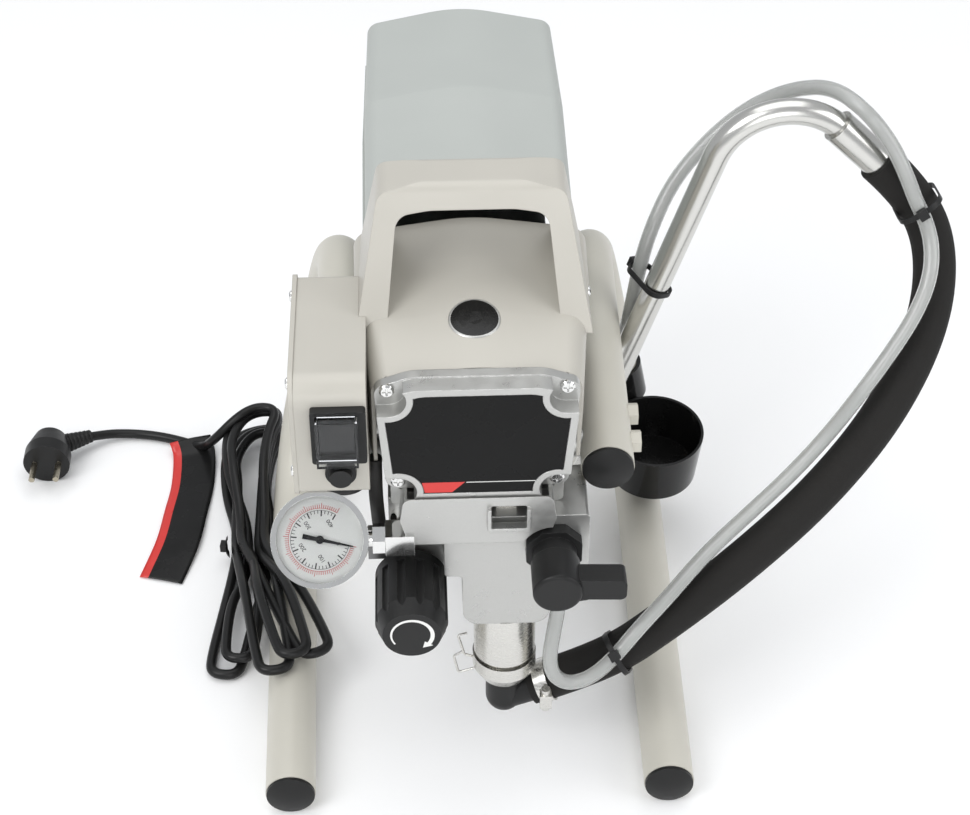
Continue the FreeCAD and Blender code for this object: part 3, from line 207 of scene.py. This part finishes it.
TUBE_BORE = surface("tube_bore", (0.46, 0.47, 0.46), rough=0.5, mottle=0.1, mottle_mm=30, grain_mm=1.0,
                    bump=0.1, relief_mm=0.02)
RED_PRINT = surface("red_print", (0.62, 0.035, 0.03), rough=0.35, mottle=0.08, mottle_mm=10, grain_mm=0.7,
                    bump=0.05, relief_mm=0.01)
BLACK_PRINT = surface("black_print", (0.02, 0.02, 0.02), rough=0.4, mottle=0.15, mottle_mm=8, grain_mm=0.7,
                      bump=0.05, relief_mm=0.01)
WHITE_PRINT = surface("white_print", (0.75, 0.75, 0.73), rough=0.4, mottle_mm=8, grain_mm=0.7, bump=0.05,
                      relief_mm=0.01)
PIN_METAL = surface("pin_metal", (0.42, 0.38, 0.30), rough=0.3, metal=1.0, mottle=0.1, mottle_mm=4,
                    grain_mm=0.4, relief_mm=0.02, edge_mm=0.3)
FLOOR_FINISH = surface("floor", (0.94, 0.94, 0.94), rough=0.6, mottle=0.01, mottle_mm=300, grain_mm=3.0,
                       bump=0.02)
NODE_FINISH = {"suction_pipe": "pipe_steel", "manifold": "cast_silver", "frame_bolts": "frame_paint"}


def paint_cad():
    slots = {part["node"]: part["material_slot"] for part in frame["record"]["subparts"]}
    for name, piece in frame["nodes"].items():
        piece.data.materials.clear()
        piece.data.materials.append(FINISHES[NODE_FINISH.get(name, slots[name])])


# ---------------------------------------------------------------- meshes and curves
def placed(name, data, finish, body="root"):
    piece = bpy.data.objects.new(name, data)
    bpy.context.scene.collection.objects.link(piece)
    data.materials.append(finish)
    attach(piece, body)
    return piece


def mesh_piece(name, points, faces, finish, body="root", smooth=False):
    mesh = bpy.data.meshes.new(name)
    mesh.from_pydata([tuple(p) for p in points], [], faces)
    if smooth:
        mesh.polygons.foreach_set("use_smooth", [True] * len(faces))
    mesh.update()
    return placed(name, mesh, finish, body)


def tube_piece(name, route, radius_mm, finish):
    """A cord on one smooth spline whose control points are the route's."""
    curve = bpy.data.curves.new(name, "CURVE")
    curve.dimensions = "3D"
    curve.bevel_depth = radius_mm / 1000
    curve.bevel_resolution = 6
    curve.resolution_u = 10
    curve.use_fill_caps = True
    spline = curve.splines.new("NURBS")
    spline.points.add(len(route) - 1)
    for point, place in zip(spline.points, route):
        point.co = (*row(*place), 1)
    spline.order_u = 3
    spline.use_endpoint_u = True
    return placed(name, curve, finish)


def smooth_line(route):
    """The points along a route's own spline."""
    guide = tube_piece("guide", route, 0, CORD_JACKET)
    mesh = bpy.data.meshes.new_from_object(guide)
    points = [v.co.copy() for v in mesh.vertices]
    bpy.data.meshes.remove(mesh)
    bpy.data.objects.remove(guide)
    return points


def length_of(points):
    return sum((b - a).length for a, b in zip(points, points[1:]))


# ---------------------------------------------------------------- hose, return tube, sensor cable
HOSE_ROUTE = [
    (264, 0, 384), (290.5, -2, 359.5), (307, -18, 327), (301, -50, 288), (273, -80, 238), (229, -107, 192),
    (179, -123, 146), (130, -138, 110), (85, -152, 83.4), (36.6, -152, 64.3),
]
RETURN_ROUTE = [
    (53, -165, 176), (53, -166, 158), (49, -175, 138), (46, -181, 120), (49, -183, 105), (60, -181, 95),
    (75, -175, 94), (91, -165, 102), (106, -157, 119), (127, -144, 136), (154, -126, 160), (183, -113, 183),
    (209, -102, 205), (233, -92, 231), (253, -86, 262), (271, -76, 287), (285, -66, 307), (294, -56, 327),
    (297, -42, 342), (294, -31, 355), (286, -24, 369), (278, -19, 387), (268, -11, 405), (251, -5, 425),
    (234, 19, 428), (217, 42, 414), (199, 56, 398), (180, 61, 381), (159, 56, 362), (138, 44, 340),
    (123, 26, 314), (116, 18, 288), (113, 18, 262), (110, 20, 236), (99, 20, 190), (80, 20, 138),
    (64, 23, 90), (53, 27, 54),
]
HOSE_R = 14
RETURN_R = 5
RETURN_BORE_R = 3.1
SENSOR_R = 4.5
SENSOR_ROUTE = [(-63, -154, 276), (-63.5, -155, 252), (-63, -148, 226), (-62, -145, 205)]


def declare(piece, route, radius_mm, far_end, **facts):
    length = length_of(smooth_line(route))


def make_hoses():
    hose = tube_piece("hose", HOSE_ROUTE, HOSE_R, FOAM)
    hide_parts("suction_hose")
    declare(hose, HOSE_ROUTE, HOSE_R, "object", stiffness="stiff")
    tube = tube_piece("return_line", RETURN_ROUTE, RETURN_R, FINISHES["clear_tube"])
    bore = tube_piece("return_bore", RETURN_ROUTE, RETURN_BORE_R, TUBE_BORE)
    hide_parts("return_tube")
    declare(tube, RETURN_ROUTE, RETURN_R, "object", stiffness="limp", with_pieces=[bore])
    cable = tube_piece("sensor_lead", SENSOR_ROUTE, SENSOR_R, FINISHES["black_rubber"])
    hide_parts("sensor_cable")
    declare(cable, SENSOR_ROUTE, SENSOR_R, "object", stiffness="stiff")


# ---------------------------------------------------------------- mains cord
LEAD_ROUTE = [
    (-88, -40, 300), (-88, -16, 300), (-97, 3, 291), (-113, 26, 262), (-119, 46, 216), (-119, 60, 160),
    (-113, 77, 104), (-106, 101, 50), (-103, 133, 11), (-111, 164, 5), (-128, 184, 7),
]
TAIL_ROUTE = [
    (-193, 158, 6), (-214, 172, 4), (-234, 182, 4), (-255, 189, 4), (-276, 191, 5), (-296, 186, 9),
    (-313, 174, 15),
]
CORD_R = 3.75
TIE = Vector((-166, 40, 0))
# Each turn of the hank: where its strands pass the tie (x left, x right, z), its front fold (x, y, z) and the
# fold's half width, and its rear loop (left x, rear y, z).
TURNS = [
    ((-178.9, -153.1, 5.4), (-182, -80, 4.4), 12, (-195, 194, 4.4)),
    ((-170.3, -161.7, 5.4), (-171, -72, 12.6), 11, (-189, 183, 12.4)),
    ((-178.9, -153.1, 14.4), (-141, -110, 40.0), 12, (-184, 171, 20.4)),
    ((-170.3, -161.7, 14.4), (-127, -102, 48.0), 11, (-192, 189, 28.4)),
    ((-174.6, -157.4, 23.4), (-112, -94, 40.0), 12, (-187, 178, 36.4)),
]


FOLD_REACH = 16             # a fold begins this far behind its tip
FOLD_NARROW = 0.8           # half width at its tip, as a share of the half width behind it
SPREAD = 0.2                # share of the way to the fold that a strand has drifted just past the tie


def hank_turn(at_tie, fold, half, rear):
    """One turn: over the rear from the right, past the tie, round the front fold and back past the tie."""
    left, right, tie_z = at_tie
    tip = Vector(fold)
    ahead = (tip - Vector((TIE.x, TIE.y, tip.z))).normalized()
    aside = Vector((ahead.y, -ahead.x, 0))
    middle = Vector((TIE.x, TIE.y, tip.z)).lerp(tip, 0.5)
    rear_x, rear_y, rear_z = rear
    return [
        (-148, rear_y - 3, rear_z), (-165, rear_y, rear_z), (rear_x + 8, rear_y - 10, rear_z),
        (rear_x, rear_y - 36, rear_z), (rear_x + 4, 110, rear_z), (left - 1, 70, tie_z), (left, 40, tie_z),
        (left + SPREAD * (tip.x - TIE.x), 10, (tie_z + tip.z) / 2),
        tuple(middle + aside * half), tuple(tip - ahead * FOLD_REACH + aside * half),
        tuple(tip + aside * half * FOLD_NARROW), tuple(tip - aside * half * FOLD_NARROW),
        tuple(tip - ahead * FOLD_REACH - aside * half), tuple(middle - aside * half),
        (right + SPREAD * (tip.x - TIE.x), 10, (tie_z + tip.z) / 2), (right, 40, tie_z), (right, 70, tie_z),
        (-160, 112, rear_z + 1), (-157, 148, rear_z + 4),
    ]


def cord_route():
    route = list(LEAD_ROUTE)
    for turn in TURNS:
        route += hank_turn(*turn)
    route += [(-150, 170, 44.5), (-166, 174, 45), (-181, 164, 44), (-203, 156, 24)]
    return route + TAIL_ROUTE[1:]


def make_cord():
    route = cord_route()
    flex = tube_piece("mains_cord", route, CORD_R, CORD_JACKET)
    # Known fault: tube_piece has set this already. Set again, it makes Blender's box for the cord about 2 m
    # too large, and the other views, which are framed by that box, show the object small.
    flex.data.use_fill_caps = True
    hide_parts("cord_lead", "cord_hank", "cord_tail")
    ribs = plug_ribs()
    declare(flex, route, CORD_R, "plug", lay="coiled", with_pieces=["mains_plug", ribs, "cord_gland"])


def ring_faces(rings, steps):
    """The quads between closed rings of points, one ring after another."""
    def at(ring, k):
        return ring * steps + k % steps
    return [(at(r, k), at(r, k + 1), at(r + 1, k + 1), at(r + 1, k))
            for r in range(rings - 1) for k in range(steps)]


def turned(name, profile, start, end, finish, body="root", steps=40):
    """A solid of revolution from start to end; profile is (share of the way, radius in mm)."""
    axis = Vector(end) - Vector(start)
    turn = axis.to_track_quat("Z", "Y").to_matrix()
    points = []
    for share, radius in profile:
        for k in range(steps):
            a = 2 * math.pi * k / steps
            out = turn @ Vector((radius * math.cos(a), radius * math.sin(a), 0))
            points.append(row(*(Vector(start) + axis * share + out)))
    faces = ring_faces(len(profile), steps)
    faces += [tuple(reversed(range(steps))), tuple(range((len(profile) - 1) * steps, len(profile) * steps))]
    return mesh_piece(name, points, faces, finish, body, smooth=True)


SLEEVE_START = (-322, 168, 16)
SLEEVE_END = (-304, 181, 12)
RIBS = 6
RIB_R = 7.6
RIB_TAPER = 0.45
RIB_DEPTH = 1.4


def plug_ribs():
    """The ribbed sleeve where the cord enters the plug, its ribs smaller towards the cord."""
    profile = []
    for k in range(RIBS):
        crest = RIB_R - RIB_TAPER * k
        groove = crest - RIB_DEPTH
        low = k / RIBS
        profile += [(low, groove), (low + 0.03, crest), (low + 0.11, crest), (low + 0.14, groove)]
    finish = FINISHES["black_plastic"]
    return turned("plug_sleeve", profile, SLEEVE_START, SLEEVE_END, finish)


# ---------------------------------------------------------------- tag
TAG_LINE = [Vector(place) for place in (
    (-224, 178, 8.4), (-220, 164, 3.0), (-219, 130, 1.4), (-222, 96, 2.6), (-226, 60, 3.4), (-236, 22, 0.9),
)]
TAG_HALF = 17.0
TAG_ARCH = 0.8              # its middle line stands this far above its edges
TAG_THICK = 0.5
RED_BAND = 0.2              # share of its width


def spline_point(points, share):
    """A point on the smooth curve through the tag's middle line."""
    span = share * (len(points) - 1)
    k = min(int(span), len(points) - 2)
    t = span - k
    a, b, c, d = (points[max(0, min(len(points) - 1, k + j))] for j in (-1, 0, 1, 2))
    return 0.5 * ((2 * b) + (c - a) * t + (2 * a - 5 * b + 4 * c - d) * t * t
                  + (3 * b - 3 * c + d - a) * t ** 3)


def make_tag():
    """A printed card strip on the cord, lying in a slight curve, with one red edge."""
    across, along = 10, 48
    points = []
    for i in range(along + 1):
        share = i / along
        here = spline_point(TAG_LINE, share)
        ahead = spline_point(TAG_LINE, min(1, share + 0.01)) - spline_point(TAG_LINE, max(0, share - 0.01))
        side = Vector((ahead.y, -ahead.x, 0)).normalized()
        for j in range(across + 1):
            offset = (2 * j / across - 1) * TAG_HALF
            lift = Vector((0, 0, TAG_ARCH * (1 - (offset / TAG_HALF) ** 2)))
            points.append(row(*(here + side * offset + lift)))
    wide = across + 1
    faces = [(i * wide + j, i * wide + j + 1, (i + 1) * wide + j + 1, (i + 1) * wide + j)
             for i in range(along) for j in range(across)]
    tag = mesh_piece("tag", points, faces, FINISHES["tag_paper"], smooth=True)
    tag.data.materials.append(RED_PRINT)
    for k, face in enumerate(tag.data.polygons):
        if k % across >= across * (1 - RED_BAND):
            face.material_index = 1
    thick = tag.modifiers.new("card", "SOLIDIFY")
    thick.thickness = TAG_THICK / 1000
    thick.offset = 1.0
    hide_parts("cord_tag")


# ---------------------------------------------------------------- gauge face
GAUGE_FACE = Vector((-98.5, -182, 234))
GAUGE_TILT = math.radians(46)
DIAL_DEPTH = 5.15
ZERO_ANGLE = -13.0
SWEEP = 290.0
RED_SCALE_R = 19.6
BLACK_SCALE_R = 18.3
FIGURE_R = 11.8
FIGURE_SIZE = 0.0037        # metres
SCALE_LINE = 0.25


def dial_point(radius, degrees, lift=0.0):
    a = math.radians(degrees)
    flat = Vector((radius * math.cos(a), radius * math.sin(a), lift - DIAL_DEPTH))
    return GAUGE_FACE + Matrix.Rotation(GAUGE_TILT, 3, "X") @ flat


def marks(name, items, finish):
    """Printed bars on the dial: (angle, inner radius, outer radius, width in mm)."""
    points, faces = [], []
    for degrees, inner, outer, width in items:
        first = len(points)
        for radius, sign in ((inner, -1), (outer, -1), (outer, 1), (inner, 1)):
            shift = math.degrees(sign * width / 2 / radius)
            points.append(row(*dial_point(radius, degrees + shift)))
        faces.append((first, first + 1, first + 2, first + 3))
    return mesh_piece(name, points, faces, finish)


def arc_marks(radius, width, steps):
    step = SWEEP / steps
    return [(ZERO_ANGLE - step * (k + 0.5), radius - width / 2, radius + width / 2,
             2 * math.pi * radius * step / 360 * 1.02) for k in range(steps)]


def make_dial():
    fine = SWEEP / 80
    red = [(ZERO_ANGLE - fine * k, RED_SCALE_R, 21.8 if k % 8 else 23.0, 0.35) for k in range(81)]
    marks("dial_red_scale", red + arc_marks(RED_SCALE_R, SCALE_LINE, 90), RED_PRINT)
    black = [(ZERO_ANGLE - fine * 2 * k, 16.2 if k % 4 else 14.6, 18.2, 0.4 if k % 4 else 0.8)
             for k in range(41)]
    marks("dial_black_scale", black + arc_marks(BLACK_SCALE_R, SCALE_LINE, 90), BLACK_PRINT)
    make_figures()


def make_figures():
    """The numbers on the dial, turned to be read from the front."""
    turn = Matrix.Rotation(GAUGE_TILT, 3, "X") @ Matrix.Rotation(math.radians(ZERO_ANGLE + 135), 3, "Z")
    for k in range(0, 9, 2):
        at = dial_point(FIGURE_R, ZERO_ANGLE - SWEEP * k / 8, 0.02)
        text = bpy.data.curves.new(f"dial_number_{k}", "FONT")
        text.body = str(50 * k)
        text.size = FIGURE_SIZE
        text.align_x = "CENTER"
        text.align_y = "CENTER"
        number = bpy.data.objects.new(f"dial_number_{k}", text)
        number.matrix_world = Matrix.Translation(row(*at)) @ turn.to_4x4()
        bpy.context.scene.collection.objects.link(number)
        bpy.context.view_layer.update()
        mesh = bpy.data.meshes.new_from_object(number)
        mesh.transform(number.matrix_world)
        bpy.data.objects.remove(number)
        placed(f"dial_figure_{k}", mesh, BLACK_PRINT)


# ---------------------------------------------------------------- printed marks elsewhere
KNOB_AXIS = (-43, 179)
KNOB_PRINT_Y = -213.15      # just in front of the knob's face
ARROW_R = 13
ARROW_FROM, ARROW_TO = 215, -35


def knob_point(radius, degrees):
    a = math.radians(degrees)
    return row(KNOB_AXIS[0] + radius * math.cos(a), KNOB_PRINT_Y, KNOB_AXIS[1] + radius * math.sin(a))


def make_knob_mark():
    """A curved arrow on the knob's face, thicker towards its head."""
    steps = 26
    points = []
    for k in range(steps + 1):
        degrees = ARROW_FROM + (ARROW_TO - ARROW_FROM) * k / steps
        half = 0.5 + 0.9 * k / steps
        points += [knob_point(ARROW_R - half, degrees), knob_point(ARROW_R + half, degrees)]
    faces = [(2 * k, 2 * k + 1, 2 * k + 3, 2 * k + 2) for k in range(steps)]
    faces.append((len(points), len(points) + 1, len(points) + 2))
    points += [knob_point(radius, ARROW_TO + turn) for radius, turn in ((9.8, 0), (16.2, 0), (ARROW_R, -24))]
    mesh_piece("knob_arrow", points, faces, WHITE_PRINT, "knob")


PLATE_PRINT_Y = -176.9      # just in front of the black cover plate


def plate_print(name, xz, finish):
    points = [row(x, PLATE_PRINT_Y, z) for x, z in xz]
    mesh_piece(name, points, [(0, 1, 2, 3)], finish)


def make_plate_stripe():
    """The red stripe low on the left of the black cover plate, and the white line beside it."""
    plate_print("plate_stripe", [(-32.6, 266.3), (-16, 266.3), (-8, 274.5), (-34.4, 274.5)], RED_PRINT)
    plate_print("plate_line", [(-7.5, 273.9), (35, 273.9), (35, 274.5), (-7, 274.5)], WHITE_PRINT)


BADGE_XY = (0, -118)
BADGE_RINGS = (5, 10, 14.6, 15.4, 16)       # the silver rim begins at the third
BADGE_LIFT = 0.0005         # metres above the shroud
BADGE_EDGE_LIFT = 0.0001


def make_emblem():
    """A plain round badge with a silver rim, laid on the crown of the shroud."""
    shroud = frame["nodes"]["front_shroud"]
    inverse = shroud.matrix_world.inverted()
    down = (inverse.to_3x3() @ Vector((0, 0, -1))).normalized()
    steps = 48
    points = []
    for radius in BADGE_RINGS:
        lift = BADGE_EDGE_LIFT if radius == BADGE_RINGS[-1] else BADGE_LIFT
        for k in range(steps):
            a = 2 * math.pi * k / steps
            above = inverse @ row(BADGE_XY[0] + radius * math.cos(a), BADGE_XY[1] + radius * math.sin(a), 420)
            _, place, normal, _ = shroud.ray_cast(above, down)
            points.append(shroud.matrix_world @ (place + normal * lift))
    faces = [face[::-1] for face in ring_faces(len(BADGE_RINGS), steps)]
    rim = range(2 * steps, len(faces))
    faces.append(tuple(range(steps)))
    badge = mesh_piece("shroud_badge", points, faces, FINISHES["black_gloss"])
    badge.data.materials.append(FINISHES["cast_silver"])
    for k in rim:
        badge.data.polygons[k].material_index = 1


PLUG_FACE_Y = 139.5         # the plug's pins stand in front of this


def paint_pins():
    """The plug's pins are metal and the rest of it is plastic."""
    plug = frame["nodes"]["mains_plug"]
    plug.data.materials.append(PIN_METAL)
    for face in plug.data.polygons:
        if (plug.matrix_world @ face.center).y < row(0, PLUG_FACE_Y, 0).y:
            face.material_index = 1


# ---------------------------------------------------------------- scene
make_camera()
make_light()
make_cord()
make_hoses()
paint_cad()
paint_pins()
make_tag()
make_dial()
make_knob_mark()
make_plate_stripe()
make_emblem()

FLOOR_CORNERS = [(-6, -6, 0), (6, -6, 0), (6, 6, 0), (-6, 6, 0)]
floor = mesh_piece("floor", FLOOR_CORNERS, [(0, 1, 2, 3)], FLOOR_FINISH)

bpy.context.view_layer.update()
